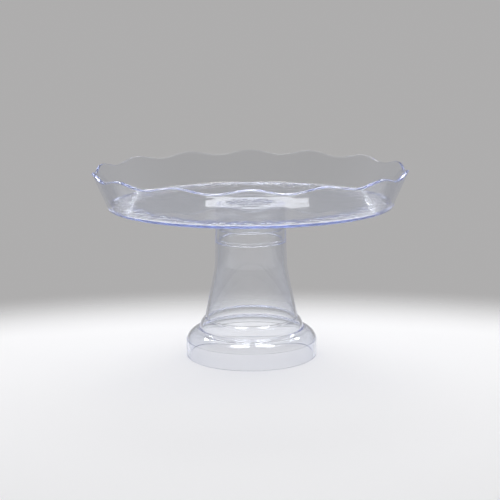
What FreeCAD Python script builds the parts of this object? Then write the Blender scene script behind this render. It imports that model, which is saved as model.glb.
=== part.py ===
"""Two-piece cake stand in clear moulded plastic: a scalloped serving plate on a hollow pedestal.

The plate has a flat floor, a wall that flares outwards and ends in a waved edge, and a round collar
under the floor.  The pedestal is a hollow shell with a stepped foot, open underneath.  A ledge runs
round its inside a little below the top, and the wall above the ledge is the socket for the collar.
The plate is pushed on by hand, rests on the pedestal's top edge and lifts straight off.

Frame: millimetres, +Z up, origin in the middle of the foot, on the surface that the stand rests on.
"""

import FreeCAD
import Part

import math
import os

V = FreeCAD.Vector
ORIGIN = V(0, 0, 0)
UP = V(0, 0, 1)

# ---- Plate -----------------------------------------------------------------------------------------
RIM_RADIUS = 150.0  # outside of the wall, at the middle height of the waved edge
BASE_RADIUS = 135.6  # outside of the wall, carried down to the underside of the floor
PLATE_DEPTH = 33.4  # underside of the floor to the middle height of the waved edge
FLOOR_THICKNESS = 2.7
PLATE_WALL = 3.0  # measured across the wall
SCALLOP_COUNT = 14  # crests round the edge, the first one at the front (-Y)
SCALLOP_HEIGHT = 4.6  # trough to crest
BASE_CORNER_RADIUS = 1.4  # outside corner between floor and wall
WELL_CORNER_RADIUS = 2.5  # inside corner between floor and wall
COLLAR_LENGTH = 23.6  # below the floor
COLLAR_WALL = 2.2
COLLAR_LEAD_IN = 0.8  # bevel round the outside of the collar's lower end

# ---- Pedestal --------------------------------------------------------------------------------------
PEDESTAL_HEIGHT = 147.3
TOP_RADIUS = 33.2  # outside, at the top edge
WAIST_RADIUS = 34.7  # outside, where the neck turns into the cone
WAIST_HEIGHT = 87.0
WAIST_BLEND_RADIUS = 60.0
CONE_RADIUS = 44.9  # outside, where the cone meets the shoulder
CONE_HEIGHT = 38.0
SHOULDER_RADIUS = 50.3  # outside, where the shoulder meets the bell of the foot
SHOULDER_HEIGHT = 26.6
SHOULDER_ARC_RADIUS = 14.7
FOOT_RADIUS = 63.3
SKIRT_HEIGHT = 16.5  # straight skirt at the bottom of the foot
BELL_ARC_RADIUS = 14.5
PEDESTAL_WALL = 2.3  # measured across the wall
EDGE_BREAK = 0.5  # bevel on the edges that a hand or the table touches

# ---- Joint between them ----------------------------------------------------------------------------
SOCKET_RADIUS = 30.9  # inside of the pedestal above its ledge
SOCKET_CLEARANCE = 0.15  # between socket and collar, all round
LEDGE_HEIGHT = 112.0  # underside of the ledge
LEDGE_THICKNESS = 2.2
LEDGE_RADIUS = 28.9  # inner edge of the ledge

# ---- Sizes that follow -----------------------------------------------------------------------------
FLARE = (RIM_RADIUS - BASE_RADIUS) / PLATE_DEPTH  # outward run of the plate's wall per mm of height
LEVEL_WALL = PLATE_WALL * math.hypot(1, FLARE)  # thickness of the plate's wall along a level line
RIM_HEIGHT = PEDESTAL_HEIGHT + PLATE_DEPTH
TRIM_HEIGHT = SCALLOP_HEIGHT * (1 + FLARE**2) + FLARE * LEVEL_WALL  # wall above RIM_HEIGHT, before the waves
TRIM_REACH = 2 * LEVEL_WALL + FLARE * TRIM_HEIGHT  # reach of the scallop cutters to each side of the rim
COLLAR_RADIUS = SOCKET_RADIUS - SOCKET_CLEARANCE


def point(radius, height):
    """A point of a section, in the plane Y = 0."""
    return V(radius, 0, height)


def line(start, end):
    return Part.LineSegment(start, end).toShape()


def bulge(start, end, radius):
    """Arc from start up to end that bulges outwards, away from the Z axis."""
    middle = (start + end) * 0.5
    chord = end - start
    inward = V(-chord.z, 0, chord.x).normalize()
    centre = middle + inward * math.sqrt(radius**2 - (chord.Length / 2) ** 2)
    return Part.Arc(start, centre - inward * radius, end).toShape()


def blend(before, corner, after, radius):
    """Arc that rounds the corner between two straight lines, with its two tangent points."""
    back = (before - corner).normalize()
    ahead = (after - corner).normalize()
    half_angle = back.getAngle(ahead) / 2
    reach = radius / math.tan(half_angle)
    bisector = (back + ahead).normalize()
    middle = corner + bisector * (radius / math.sin(half_angle) - radius)
    start = corner + back * reach
    end = corner + ahead * reach
    return start, Part.Arc(start, middle, end).toShape(), end


def turned(section):
    """Solid of revolution about the Z axis from the edges of a closed section."""
    return Part.Face(Part.Wire(Part.__sortEdges__(section))).revolve(ORIGIN, UP, 360)


def turned_polygon(corners):
    """Solid of revolution from (radius, height) corners joined by straight lines."""
    spots = [point(radius, height) for radius, height in corners]
    return turned([line(spots[i - 1], spots[i]) for i in range(len(spots))])


def round_edges(solid, circles):
    """The circular edges that pass through the given (radius, height) points."""
    return [
        edge
        for edge in solid.Edges
        for radius, height in circles
        if isinstance(edge.Curve, Part.Circle)
        and abs(edge.Curve.Radius - radius) < 0.01
        and abs(edge.Curve.Center.z - height) < 0.01
    ]


# ---- Plate -----------------------------------------------------------------------------------------


def wall_radius(height):
    """Outside radius of the plate's flaring wall."""
    return BASE_RADIUS + FLARE * (height - PEDESTAL_HEIGHT)


def dish():
    """Floor and wall of the plate, with the wall carried up past the highest crest."""
    underside = PEDESTAL_HEIGHT
    floor_top = underside + FLOOR_THICKNESS
    top = RIM_HEIGHT + TRIM_HEIGHT
    well_radius = wall_radius(floor_top) - LEVEL_WALL
    blank = turned_polygon(
        [
            (0, underside),
            (BASE_RADIUS, underside),
            (wall_radius(top), top),
            (wall_radius(top) - LEVEL_WALL, top),
            (well_radius, floor_top),
            (0, floor_top),
        ]
    )
    blank = blank.makeFillet(BASE_CORNER_RADIUS, round_edges(blank, [(BASE_RADIUS, underside)]))
    return blank.makeFillet(WELL_CORNER_RADIUS, round_edges(blank, [(well_radius, floor_top)]))


def scallop_curve(radius):
    """One wave of the edge, from trough over the crest to trough, wrapped on an upright cylinder.

    The curve lies lower the further out it is, so that the edge it cuts is square to the flared wall.
    """
    span = 2 * math.pi / SCALLOP_COUNT
    tilt = FLARE * (radius - (RIM_RADIUS - LEVEL_WALL / 2))
    wave = SCALLOP_HEIGHT / 2 * (1 + FLARE**2)
    steps = 6
    points = []
    for i in range(steps + 1):
        turn = span * (i / steps - 0.5)
        height = RIM_HEIGHT - tilt + wave * math.cos(SCALLOP_COUNT * turn)
        points.append(V(radius * math.sin(turn), -radius * math.cos(turn), height))
    start_direction = V(math.cos(span / 2), -math.sin(span / 2), 0)
    end_direction = V(math.cos(span / 2), math.sin(span / 2), 0)
    curve = Part.BSplineCurve()
    curve.interpolate(Points=points, InitialTangent=start_direction, FinalTangent=end_direction)
    return curve.toShape()


def scallop_cutters():
    """One block for each scallop, whose waved underside trims the wall to the edge."""
    inner = scallop_curve(RIM_RADIUS - TRIM_REACH)
    outer = scallop_curve(RIM_RADIUS + TRIM_REACH)
    block = Part.makeRuledSurface(inner, outer).extrude(UP * 2 * (TRIM_HEIGHT + FLARE * TRIM_REACH))
    return [block.rotated(ORIGIN, UP, 360 * i / SCALLOP_COUNT) for i in range(SCALLOP_COUNT)]


def collar():
    """Round collar under the floor, reaching up into the floor so that the two are one piece."""
    end = PEDESTAL_HEIGHT - COLLAR_LENGTH
    root = PEDESTAL_HEIGHT + FLOOR_THICKNESS / 2
    inside = COLLAR_RADIUS - COLLAR_WALL
    ring = turned_polygon([(inside, end), (COLLAR_RADIUS, end), (COLLAR_RADIUS, root), (inside, root)])
    return ring.makeChamfer(COLLAR_LEAD_IN, round_edges(ring, [(COLLAR_RADIUS, end)]))


def plate():
    return dish().cut(scallop_cutters()).fuse(collar()).removeSplitter()


# ---- Pedestal --------------------------------------------------------------------------------------


def pedestal_profile():
    """The outside of the pedestal, from the table up to the top edge, as one open wire."""
    foot = point(FOOT_RADIUS, 0)
    skirt = point(FOOT_RADIUS, SKIRT_HEIGHT)
    shoulder = point(SHOULDER_RADIUS, SHOULDER_HEIGHT)
    cone = point(CONE_RADIUS, CONE_HEIGHT)
    waist = point(WAIST_RADIUS, WAIST_HEIGHT)
    top = point(TOP_RADIUS, PEDESTAL_HEIGHT)
    waist_start, waist_arc, waist_end = blend(cone, waist, top, WAIST_BLEND_RADIUS)
    return Part.Wire(
        [
            line(foot, skirt),
            bulge(skirt, shoulder, BELL_ARC_RADIUS),
            bulge(shoulder, cone, SHOULDER_ARC_RADIUS),
            line(cone, waist_start),
            waist_arc,
            line(waist_end, top),
        ]
    )


def filled(profile):
    """Solid of revolution that fills a profile from the Z axis out."""
    low = min((vertex.Point for vertex in profile.Vertexes), key=lambda spot: spot.z)
    high = max((vertex.Point for vertex in profile.Vertexes), key=lambda spot: spot.z)
    axis_low, axis_high = point(0, low.z), point(0, high.z)
    closing = [line(high, axis_high), line(axis_high, axis_low), line(axis_low, low)]
    return turned(profile.Edges + closing)


def hollow():
    """The space inside the pedestal's wall, from the table up to the ledge."""
    inside = pedestal_profile().makeOffset2D(PEDESTAL_WALL, join=2, fill=False, openResult=True)
    return filled(inside).common(Part.makeCylinder(FOOT_RADIUS, LEDGE_HEIGHT))


def pedestal():
    socket_floor = LEDGE_HEIGHT + LEDGE_THICKNESS
    mouth = Part.makeCylinder(LEDGE_RADIUS, LEDGE_THICKNESS, point(0, LEDGE_HEIGHT))
    socket = Part.makeCylinder(SOCKET_RADIUS, PEDESTAL_HEIGHT - socket_floor, point(0, socket_floor))
    shell = filled(pedestal_profile()).cut([hollow(), mouth, socket]).removeSplitter()
    touched = [(TOP_RADIUS, PEDESTAL_HEIGHT), (SOCKET_RADIUS, PEDESTAL_HEIGHT), (FOOT_RADIUS, 0)]
    return shell.makeChamfer(EDGE_BREAK, round_edges(shell, touched))


if __name__ == "__main__":
    os.makedirs("parts", exist_ok=True)
    plate().exportStep("parts/plate.step")
    pedestal().exportStep("parts/pedestal.step")
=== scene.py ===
import math

import bpy
from mathutils import Matrix, Vector, noise


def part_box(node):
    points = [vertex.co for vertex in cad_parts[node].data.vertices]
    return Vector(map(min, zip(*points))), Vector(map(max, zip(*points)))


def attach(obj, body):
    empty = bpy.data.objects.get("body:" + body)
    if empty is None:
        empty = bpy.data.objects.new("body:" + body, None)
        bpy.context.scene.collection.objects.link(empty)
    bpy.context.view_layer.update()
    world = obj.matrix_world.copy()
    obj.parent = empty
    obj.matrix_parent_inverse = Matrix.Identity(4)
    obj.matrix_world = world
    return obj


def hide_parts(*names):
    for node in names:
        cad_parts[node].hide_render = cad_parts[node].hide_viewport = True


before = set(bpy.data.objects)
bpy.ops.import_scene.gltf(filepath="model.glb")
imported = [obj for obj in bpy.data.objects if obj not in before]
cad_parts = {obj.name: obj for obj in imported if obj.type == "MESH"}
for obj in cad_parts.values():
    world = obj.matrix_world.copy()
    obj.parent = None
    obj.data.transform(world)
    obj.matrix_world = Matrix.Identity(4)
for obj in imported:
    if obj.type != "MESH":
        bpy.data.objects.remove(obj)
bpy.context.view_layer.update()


# ---- Plate -----------------------------------------------------------------------------------------
# The serving plate is one moulding in clear polystyrene: a flat floor, a flaring wall with a waved edge
# and a round collar under the floor.  A band and a disc of small pits are moulded into the underside
# and show as faint sinks on top.  The plate stands loose, its collar inside the pedestal's socket.

plate_low, plate_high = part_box("plate")
_, pedestal_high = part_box("pedestal")

UNDERSIDE = pedestal_high.z
FLOOR_THICKNESS = 0.0027
FLOOR_TOP = UNDERSIDE + FLOOR_THICKNESS
RIM_RADIUS = 0.15
BASE_RADIUS = 0.1356
PLATE_DEPTH = 0.0334  # underside of the floor to the middle height of the waved edge
PLATE_WALL = 0.003
FLARE = (RIM_RADIUS - BASE_RADIUS) / PLATE_DEPTH
LEVEL_WALL = PLATE_WALL * math.hypot(1, FLARE)
SCALLOPS = 14
SCALLOP_HEIGHT = 0.0046  # trough to crest
COLLAR_RADIUS = 0.03075
COLLAR_WALL = 0.0022

BASE_ROUNDING = 0.0012
WELL_ROUNDING = 0.0025
RIM_ROUNDING = 0.0008
COLLAR_END_ROUNDING = 0.00105
COLLAR_ROOT_ROUNDING = (0.0006, 0.0003)  # inside and outside

PITTED_BAND = (0.1, 0.1338)
PITTED_DISC = 0.0255
PIT_WIDTH = 0.004
PIT_LENGTH = 0.009
PIT_DEPTH = 0.0018
PIT_REACH = 0.8  # how far a pit spreads from its middle, as a share of its cell
BAND_FADE = (0.016, 0.002)  # widths over which the pits thin out, at the inner and the outer border
DISC_FADE = (0.006, 0.004)  # and in the disc, towards its border and towards its middle
DISC_BARE = 0.001  # no pits this near to the middle
DISC_SHARE = 0.7  # the disc's pits are shallower and further apart than the band's
SINK = 0.12  # depth of the sinks on top, as a share of the pits below them

SCALLOP_SIDES = 44
PLATE_SIDES = SCALLOPS * SCALLOP_SIDES
PLATE_CORNER_STEPS = 6
DISC_RINGS = [0.001 * (i + 1) for i in range(26)]
OPEN_RINGS = [0.03, 0.045, 0.06, 0.075, 0.09]
BAND_RINGS = [0.0985, *(PITTED_BAND[0] + 0.0017 * i for i in range(20)), PITTED_BAND[1]]

CLEAR_FACING = (0.965, 0.97, 0.98, 1)
# painted shade, mixed into the plastic's colour where a wall is seen edge-on
PAINTED_EDGE_SHADE = (0.6, 0.64, 0.76, 1)
CLEAR_IN_DEPTH = (0.4, 0.52, 0.9, 1)
CLEAR_SHADOW = (0.985, 0.985, 0.99, 1)
SATIN_BAND = (0.0024, 0.0014)  # depths below the waved edge at which the satin starts and is full
SATIN_ROUGHNESS = 0.16


def rounded_corner(before, corner, after, rounding, steps):
    """Points that round a corner of an outline, with a point on each side that keeps the flats flat."""
    margin = 0.0005
    back = (before - corner).normalized()
    ahead = (after - corner).normalized()
    half = back.angle(ahead) / 2
    reach = rounding / math.tan(half)
    centre = corner + (back + ahead).normalized() * rounding / math.sin(half)
    start = corner + back * reach - centre
    sweep = start.angle_signed(corner + ahead * reach - centre)
    arc = []
    for i in range(steps + 1):
        turn = Matrix.Rotation(-sweep * i / steps, 2)
        arc.append(centre + turn @ start)
    return [corner + back * (reach + margin), *arc, corner + ahead * (reach + margin)]


def outline(corners, steps):
    """Section points from (radius, height, rounding) corners."""
    spots = [Vector(corner[:2]) for corner in corners]
    points = []
    for i, (_, _, rounding) in enumerate(corners):
        before = spots[i - 1]
        after = spots[(i + 1) % len(spots)]
        if rounding:
            points += rounded_corner(before, spots[i], after, rounding, steps)
        else:
            points.append(spots[i])
    return points


def pit(spot):
    """Depth of the texture's pits at a point of a field of cells, from 0 to 1."""
    return max(0, 1 - noise.voronoi(spot)[0][0] / PIT_REACH)


def pit_depth(radius, turn):
    """Bite of the texture: long pits in the band, round ones in the disc, and fewer at the borders."""
    inner, outer = PITTED_BAND
    east, north = math.sin(turn), math.cos(turn)
    if radius > inner:
        around = (inner + outer) / 2 / PIT_WIDTH
        depth = pit(Vector((around * east, around * north, radius / PIT_LENGTH)))
        share = min((radius - inner) / BAND_FADE[0], (outer - radius) / BAND_FADE[1], 1)
    else:
        depth = pit(Vector((radius * east, radius * north, 0)) / PIT_WIDTH)
        to_border = (PITTED_DISC - radius) / DISC_FADE[0]
        to_middle = (radius - DISC_BARE) / DISC_FADE[1]
        share = min(to_border, to_middle, DISC_SHARE)
    return PIT_DEPTH * max(0, depth + share - 1)


def plate_section(turn):
    """Outline of the plate at an angle round it, from the axis under the floor to the axis on top."""
    drop = LEVEL_WALL * FLARE / (1 + FLARE**2)
    rim_top = plate_high.z - SCALLOP_HEIGHT / 2 * (1 - math.cos(SCALLOPS * turn))
    rim = rim_top - drop
    rim_radius = BASE_RADIUS + FLARE * (rim - UNDERSIDE)
    well_radius = BASE_RADIUS + FLARE * (FLOOR_TOP - UNDERSIDE) - LEVEL_WALL
    collar_inside = COLLAR_RADIUS - COLLAR_WALL
    root_inside, root_outside = COLLAR_ROOT_ROUNDING
    corners = [
        (0, UNDERSIDE, 0),
        (collar_inside, UNDERSIDE, root_inside),
        (collar_inside, plate_low.z, COLLAR_END_ROUNDING),
        (COLLAR_RADIUS, plate_low.z, COLLAR_END_ROUNDING),
        (COLLAR_RADIUS, UNDERSIDE, root_outside),
        (BASE_RADIUS, UNDERSIDE, BASE_ROUNDING),
        (rim_radius, rim, RIM_ROUNDING),
        (rim_radius + FLARE * drop - LEVEL_WALL, rim_top, RIM_ROUNDING),
        (well_radius, FLOOR_TOP, WELL_ROUNDING),
        (0, FLOOR_TOP, 0),
    ]
    edge = outline(corners, PLATE_CORNER_STEPS)
    past_collar = next(i for i, point in enumerate(edge) if point.x > PITTED_BAND[0])
    under_disc = [Vector((r, UNDERSIDE + pit_depth(r, turn))) for r in DISC_RINGS]
    under_band = [Vector((r, UNDERSIDE + pit_depth(r, turn))) for r in BAND_RINGS]
    level_rings = [r for r in BAND_RINGS if r < well_radius - WELL_ROUNDING]
    rings = DISC_RINGS[1::2] + OPEN_RINGS + level_rings
    floor_top = [Vector((r, FLOOR_TOP - SINK * pit_depth(r, turn))) for r in reversed(rings)]
    return under_disc + edge[1:past_collar] + under_band + edge[past_collar:-1] + floor_top


def turned(name, section_at, sides, crease, poles=()):
    """Closed mesh swept round the axis, smooth up to the crease angle in degrees.

    The poles are the heights that close a section open at the axis.
    """
    sections = [section_at(2 * math.pi * i / sides) for i in range(sides)]
    rows = len(sections[0])
    points = []
    for i, section in enumerate(sections):
        turn = 2 * math.pi * i / sides
        points += [(p.x * math.sin(turn), -p.x * math.cos(turn), p.y) for p in section]
    faces = []
    for i in range(sides):
        here = i * rows
        there = (i + 1) % sides * rows
        for j in range(rows - 1 if poles else rows):
            k = (j + 1) % rows
            faces.append((here + j, there + j, there + k, here + k))
    if poles:
        bottom, top = len(points), len(points) + 1
        points += [(0, 0, height) for height in poles]
        for i in range(sides):
            here = i * rows
            there = (i + 1) % sides * rows
            faces.append((bottom, there, here))
            faces.append((top, here + rows - 1, there + rows - 1))
    mesh = bpy.data.meshes.new(name)
    mesh.from_pydata(points, [], faces)
    mesh.shade_smooth()
    mesh.set_sharp_from_angle(angle=math.radians(crease))
    piece = bpy.data.objects.new(name, mesh)
    bpy.context.scene.collection.objects.link(piece)
    return piece


def clear_plastic(name):
    """Polished clear polystyrene: colourless through a wall, blue where light runs along inside it."""
    material = bpy.data.materials.new(name)
    material.use_nodes = True
    nodes = material.node_tree.nodes
    links = material.node_tree.links
    shader = nodes["Principled BSDF"]
    output = nodes["Material Output"]
    place = nodes.new("ShaderNodeTexCoord")
    shader.inputs["Transmission Weight"].default_value = 1
    shader.inputs["IOR"].default_value = 1.57

    # Painted shade: the colour is cooler and darker where a wall is seen edge-on.
    grazing = nodes.new("ShaderNodeLayerWeight")
    grazing.inputs["Blend"].default_value = 0.25
    body = nodes.new("ShaderNodeMix")
    body.data_type = "RGBA"
    body.inputs["A"].default_value = CLEAR_FACING
    body.inputs["B"].default_value = PAINTED_EDGE_SHADE
    links.new(grazing.outputs["Facing"], body.inputs["Factor"])
    links.new(body.outputs["Result"], shader.inputs["Base Color"])

    # Patches of the polish are very slightly hazy.
    haze = nodes.new("ShaderNodeTexNoise")
    haze.inputs["Scale"].default_value = 35
    haze.inputs["Detail"].default_value = 3
    links.new(place.outputs["Object"], haze.inputs["Vector"])
    roughness = nodes.new("ShaderNodeMapRange")
    roughness.inputs["From Min"].default_value = 0.35
    roughness.inputs["From Max"].default_value = 0.75
    roughness.inputs["To Min"].default_value = 0.0
    roughness.inputs["To Max"].default_value = 0.035
    links.new(haze.outputs["Fac"], roughness.inputs["Value"])
    links.new(roughness.outputs["Result"], shader.inputs["Roughness"])

    # The melt leaves faint ripples as it flows into the mould.
    flow = nodes.new("ShaderNodeTexNoise")
    flow.inputs["Scale"].default_value = 28
    flow.inputs["Detail"].default_value = 1
    links.new(place.outputs["Object"], flow.inputs["Vector"])
    ripple = nodes.new("ShaderNodeBump")
    ripple.inputs["Strength"].default_value = 0.05
    ripple.inputs["Distance"].default_value = 0.002
    links.new(flow.outputs["Fac"], ripple.inputs["Height"])
    links.new(ripple.outputs["Normal"], shader.inputs["Normal"])

    # Blue builds up along a long way through the plastic.
    tint = nodes.new("ShaderNodeVolumeAbsorption")
    tint.inputs["Color"].default_value = CLEAR_IN_DEPTH
    tint.inputs["Density"].default_value = 7
    links.new(tint.outputs["Volume"], output.inputs["Volume"])

    # Most of the light goes on through, so that the shadow on the table is faint.
    path = nodes.new("ShaderNodeLightPath")
    passing = nodes.new("ShaderNodeBsdfTransparent")
    passing.inputs["Color"].default_value = CLEAR_SHADOW
    choice = nodes.new("ShaderNodeMixShader")
    links.new(path.outputs["Is Shadow Ray"], choice.inputs["Fac"])
    links.new(shader.outputs["BSDF"], choice.inputs[1])
    links.new(passing.outputs["BSDF"], choice.inputs[2])
    links.new(choice.outputs["Shader"], output.inputs["Surface"])
    return material


def satin_rim(material):
    """Leaves the waved edge of the plate a little satin, as a mould does along its parting line."""
    nodes = material.node_tree.nodes
    links = material.node_tree.links
    roughness = nodes["Principled BSDF"].inputs["Roughness"]
    polished = roughness.links[0].from_socket
    place = nodes.new("ShaderNodeTexCoord")
    split = nodes.new("ShaderNodeSeparateXYZ")
    links.new(place.outputs["Object"], split.inputs["Vector"])

    # Height measured from the waves: level is the same all along the edge.
    turn = nodes.new("ShaderNodeMath")
    turn.operation = "ARCTAN2"
    links.new(split.outputs["X"], turn.inputs[0])
    links.new(split.outputs["Y"], turn.inputs[1])
    waves = nodes.new("ShaderNodeMath")
    waves.operation = "MULTIPLY"
    waves.inputs[1].default_value = SCALLOPS
    links.new(turn.outputs["Value"], waves.inputs[0])
    crest = nodes.new("ShaderNodeMath")
    crest.operation = "COSINE"
    links.new(waves.outputs["Value"], crest.inputs[0])
    level = nodes.new("ShaderNodeMath")
    level.operation = "MULTIPLY_ADD"
    level.inputs[1].default_value = -SCALLOP_HEIGHT / 2
    links.new(crest.outputs["Value"], level.inputs[0])
    links.new(split.outputs["Z"], level.inputs[2])

    edge_level = plate_high.z - SCALLOP_HEIGHT / 2
    edge = nodes.new("ShaderNodeMapRange")
    edge.inputs["From Min"].default_value = edge_level - SATIN_BAND[0]
    edge.inputs["From Max"].default_value = edge_level - SATIN_BAND[1]
    links.new(level.outputs["Value"], edge.inputs["Value"])
    finish = nodes.new("ShaderNodeMix")
    finish.inputs["B"].default_value = SATIN_ROUGHNESS
    links.new(edge.outputs["Result"], finish.inputs["Factor"])
    links.new(polished, finish.inputs["A"])
    links.new(finish.outputs["Result"], roughness)
    return material


plate = turned("serving_plate", plate_section, PLATE_SIDES, crease=20, poles=(UNDERSIDE, FLOOR_TOP))
plate.data.materials.append(satin_rim(clear_plastic("clear_plate_plastic")))
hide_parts("plate")
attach(plate, "plate")


# ---- Pedestal --------------------------------------------------------------------------------------
# The pedestal is one hollow moulding in the same clear plastic, open underneath: a neck and cone, a
# rounded shoulder and a bell-shaped foot.  The top is the socket that takes the plate's collar, and
# a ledge runs round the inside below it.

FOOT_RADIUS = pedestal_high.x
SKIRT_TOP = (FOOT_RADIUS, 0.0165)  # radius and height on the outside, as in the next three
SHOULDER_END = (0.0503, 0.0266)
CONE_END = (0.0449, 0.038)
WAIST = (0.0347, 0.087)
TOP_RADIUS = 0.0332
BELL_ARC = 0.0145
SHOULDER_ARC = 0.0147
WALL = 0.0023
SOCKET_RADIUS = 0.0309
LEDGE_RADIUS = 0.0289
LEDGE_UNDER = 0.112
LEDGE_TOP = 0.1142
TOUCH_GAP = 0.00005  # below the plate's floor, which rests on the top edge

FOOT_ROUNDING = (0.0008, 0.0005)  # outside and inside
WAIST_ROUNDING = 0.06
TOP_ROUNDING = 0.0005
SOCKET_FLOOR_ROUNDING = 0.0003
LEDGE_ROUNDING = 0.0004
LEDGE_ROOT_ROUNDING = 0.0005
SHOULDER_SOFTENING = (0.002, 0.003)  # outside and inside

PEDESTAL_SIDES = 420
PEDESTAL_CORNER_STEPS = 8


def bulge(start, end, radius, inset=0):
    """Points on an arc that bulges outwards from start up to end, moved inwards by an inset."""
    steps = 12
    start, end = Vector(start), Vector(end)
    chord = end - start
    inward = Vector((-chord.y, chord.x)).normalized()
    centre = (start + end) / 2 + inward * math.sqrt(radius**2 - (chord.length / 2) ** 2)
    first = start - centre
    sweep = first.angle_signed(end - centre)
    points = []
    for i in range(steps + 1):
        spoke = Matrix.Rotation(-sweep * i / steps, 2) @ first
        points.append(centre + spoke.normalized() * (radius - inset))
    return points


def softened(points, corner, reach):
    """The points with a soft curve where they turn at a corner."""
    steps = 8
    bend = points[corner]
    before = [p for p in points[:corner] if (p - bend).length > reach]
    after = [p for p in points[corner + 1 :] if (p - bend).length > reach]
    curve = []
    for i in range(1, steps):
        t = i / steps
        curve.append(before[-1] * (1 - t) ** 2 + bend * (2 * t * (1 - t)) + after[0] * t**2)
    return before + curve + after


def foot_outside():
    """Points of the bell and the shoulder, from the skirt up to the cone."""
    bell = bulge(SKIRT_TOP, SHOULDER_END, BELL_ARC)
    shoulder = bulge(SHOULDER_END, CONE_END, SHOULDER_ARC)
    return softened(bell + shoulder[1:], len(bell) - 1, SHOULDER_SOFTENING[0])


def foot_inside():
    """The same curves inside the wall, from the cone down to the skirt."""
    bell = bulge(SKIRT_TOP, SHOULDER_END, BELL_ARC, WALL)
    shoulder = bulge(SHOULDER_END, CONE_END, SHOULDER_ARC, WALL)
    below_cone = CONE_END[1] - WALL * 0.6
    upper = [p for p in reversed(shoulder) if p.y < below_cone]
    lower = [p for p in reversed(bell) if p.x > SHOULDER_END[0] - WALL]
    return softened(upper + lower, len(upper), SHOULDER_SOFTENING[1])


def pedestal_section():
    """Outline of the pedestal's wall, up the outside and down the inside."""
    top = UNDERSIDE - TOUCH_GAP
    slope = (CONE_END[0] - WAIST[0]) / (WAIST[1] - CONE_END[1])
    level_wall = WALL * math.hypot(1, slope)
    neck_slope = (WAIST[0] - TOP_RADIUS) / (UNDERSIDE - WAIST[1])
    under_ledge = WAIST[0] - neck_slope * (LEDGE_UNDER - WAIST[1]) - WALL
    corners = [
        (FOOT_RADIUS, 0, FOOT_ROUNDING[0]),
        *((p.x, p.y, 0) for p in foot_outside()),
        (*WAIST, WAIST_ROUNDING),
        (TOP_RADIUS, top, TOP_ROUNDING),
        (SOCKET_RADIUS, top, TOP_ROUNDING),
        (SOCKET_RADIUS, LEDGE_TOP, SOCKET_FLOOR_ROUNDING),
        (LEDGE_RADIUS, LEDGE_TOP, LEDGE_ROUNDING),
        (LEDGE_RADIUS, LEDGE_UNDER, LEDGE_ROUNDING),
        (under_ledge, LEDGE_UNDER, LEDGE_ROOT_ROUNDING),
        (WAIST[0] - WALL, WAIST[1] - WALL * slope / 2, WAIST_ROUNDING),
        (CONE_END[0] - level_wall, CONE_END[1], 0),
        *((p.x, p.y, 0) for p in foot_inside()),
        (FOOT_RADIUS - WALL, 0, FOOT_ROUNDING[1]),
    ]
    return outline(corners, PEDESTAL_CORNER_STEPS)


pedestal_points = pedestal_section()
pedestal = turned("hollow_pedestal", lambda turn: pedestal_points, PEDESTAL_SIDES, crease=14)
pedestal.data.materials.append(clear_plastic("clear_pedestal_plastic"))
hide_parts("pedestal")
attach(pedestal, "pedestal")


# ---- Floor ----------------------------------------------------------------------------------------
# A pale table top under the stand.  It fades into the plain grey of the studio, which the clear
# plastic shows behind the plate.

TABLE_REACH = 1.2
TABLE_SIDES = 96
TABLE_RINGS = 24
TABLE_DROP = 0.0001  # below the foot, so that the two don't share a plane
TABLE_PAINT = (0.85, 0.85, 0.86, 1)
FADE_MIDDLE = (0, -0.6, 0)
FADE = (0.7, 0.9)  # distances from the middle at which the paint starts to fade and is gone


def table_top():
    """Level disc, made of rings round its middle."""
    points = [(0, 0, 0)]
    for i in range(TABLE_SIDES):
        turn = 2 * math.pi * i / TABLE_SIDES
        for j in range(TABLE_RINGS):
            radius = TABLE_REACH * (j + 1) / TABLE_RINGS
            points.append((radius * math.sin(turn), -radius * math.cos(turn), 0))
    faces = []
    for i in range(TABLE_SIDES):
        here = 1 + i * TABLE_RINGS
        there = 1 + (i + 1) % TABLE_SIDES * TABLE_RINGS
        faces.append((0, here, there))
        for j in range(TABLE_RINGS - 1):
            faces.append((here + j, here + j + 1, there + j + 1, there + j))
    mesh = bpy.data.meshes.new("table_top")
    mesh.from_pydata(points, [], faces)
    table = bpy.data.objects.new("table_top", mesh)
    table.location.z = -TABLE_DROP
    bpy.context.scene.collection.objects.link(table)
    return table


def table_paint():
    """Matt pale paint that fades out far from the stand."""
    material = bpy.data.materials.new("pale_table")
    material.use_nodes = True
    nodes = material.node_tree.nodes
    links = material.node_tree.links
    shader = nodes["Principled BSDF"]
    shader.inputs["Base Color"].default_value = TABLE_PAINT
    shader.inputs["Roughness"].default_value = 0.9
    shader.inputs["Specular IOR Level"].default_value = 0.1
    place = nodes.new("ShaderNodeTexCoord")
    distance = nodes.new("ShaderNodeVectorMath")
    distance.operation = "DISTANCE"
    distance.inputs[1].default_value = FADE_MIDDLE
    links.new(place.outputs["Object"], distance.inputs[0])
    fading = nodes.new("ShaderNodeMapRange")
    fading.interpolation_type = "SMOOTHSTEP"
    fading.inputs["From Min"].default_value = FADE[0]
    fading.inputs["From Max"].default_value = FADE[1]
    fading.inputs["To Min"].default_value = 1
    fading.inputs["To Max"].default_value = 0
    links.new(distance.outputs["Value"], fading.inputs["Value"])
    links.new(fading.outputs["Result"], shader.inputs["Alpha"])
    return material


table = table_top()
table.data.materials.append(table_paint())


# ---- Lights ----------------------------------------------------------------------------------------
# Soft studio light: two round softboxes overhead, a wide one high up behind with a small lamp at
# each side of it, and a narrow strip far behind, low enough for the floor of the plate to mirror it.

PLATE_MIDDLE = (0, 0, 0.15)
NECK_MIDDLE = (0, 0, 0.1)
SMALL_LAMP = (0.27, 0.27)
ROUND_BOX = (0.5, 0.6)
STUDIO_GREY = (0.425, 0.42, 0.42, 1)
DARK_CEILING = (0.06, 0.06, 0.065, 1)


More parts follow.
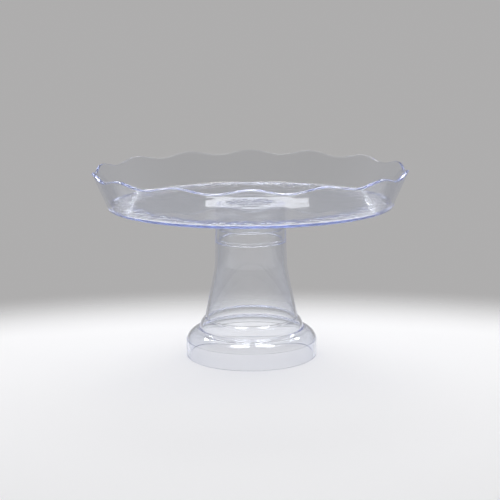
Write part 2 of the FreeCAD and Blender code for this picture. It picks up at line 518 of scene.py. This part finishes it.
def softbox(name, place, target, size, power, shape="RECTANGLE"):
    """Area lamp of a size in metres and a power in watts, turned to a target and out of view."""
    lamp = bpy.data.lights.new(name, "AREA")
    lamp.shape = shape
    lamp.size, lamp.size_y = size
    lamp.energy = power
    box = bpy.data.objects.new(name, lamp)
    direction = Vector(target) - Vector(place)
    box.rotation_euler = direction.to_track_quat("-Z", "Y").to_euler()
    box.location = place
    box.visible_camera = False
    bpy.context.scene.collection.objects.link(box)


def studio_grey():
    """Plain grey all round, up to a ceiling that is left dark."""
    world = bpy.data.worlds.new("studio")
    world.use_nodes = True
    nodes = world.node_tree.nodes
    links = world.node_tree.links
    place = nodes.new("ShaderNodeTexCoord")
    split = nodes.new("ShaderNodeSeparateXYZ")
    links.new(place.outputs["Generated"], split.inputs["Vector"])
    height = nodes.new("ShaderNodeMapRange")
    height.interpolation_type = "SMOOTHSTEP"
    height.inputs["From Min"].default_value = 0.3
    height.inputs["From Max"].default_value = 0.6
    links.new(split.outputs["Z"], height.inputs["Value"])
    shade = nodes.new("ShaderNodeMix")
    shade.data_type = "RGBA"
    shade.inputs["A"].default_value = STUDIO_GREY
    shade.inputs["B"].default_value = DARK_CEILING
    links.new(height.outputs["Result"], shade.inputs["Factor"])
    links.new(shade.outputs["Result"], nodes["Background"].inputs["Color"])
    return world


softbox("back_softbox", (0, 1.05, 1.36), PLATE_MIDDLE, (0.95, 0.6), 9)
softbox("left_back_lamp", (-0.79, 0.94, 1.18), PLATE_MIDDLE, SMALL_LAMP, 5)
softbox("right_back_lamp", (0.79, 0.94, 1.18), PLATE_MIDDLE, SMALL_LAMP, 5)
softbox("left_overhead", (-0.33, -0.2, 1.45), NECK_MIDDLE, ROUND_BOX, 6.5, "ELLIPSE")
softbox("right_overhead", (0.37, -0.12, 1.45), NECK_MIDDLE, ROUND_BOX, 6.5, "ELLIPSE")
softbox("back_strip", (0.0257, 2.6, 0.552), PLATE_MIDDLE, (0.345, 0.029), 0.035)
bpy.context.scene.world = studio_grey()


# ---- Camera ----------------------------------------------------------------------------------------
# Eye level a little above the rim, one long step in front of the stand.

CAMERA_PLACE = (-0.0008, -1.2029, 0.336)
LOOK_DOWN = 10.97
ROLL = -0.48

lens = bpy.data.cameras.new("camera")
lens.lens = 91.56
lens.sensor_width = 36
camera = bpy.data.objects.new("camera", lens)
camera.matrix_world = (
    Matrix.Translation(CAMERA_PLACE)
    @ Matrix.Rotation(math.radians(90 - LOOK_DOWN), 4, "X")
    @ Matrix.Rotation(math.radians(ROLL), 4, "Z")
)
bpy.context.scene.collection.objects.link(camera)
bpy.context.scene.camera = camera

scene = bpy.context.scene
scene.view_settings.view_transform = "Standard"

# Light crosses many walls of the clear plastic, so its paths have to be long.
scene.cycles.max_bounces = 256
scene.cycles.transmission_bounces = 256
scene.cycles.glossy_bounces = 256
scene.cycles.transparent_max_bounces = 64
scene.cycles.caustics_reflective = False
scene.cycles.caustics_refractive = False
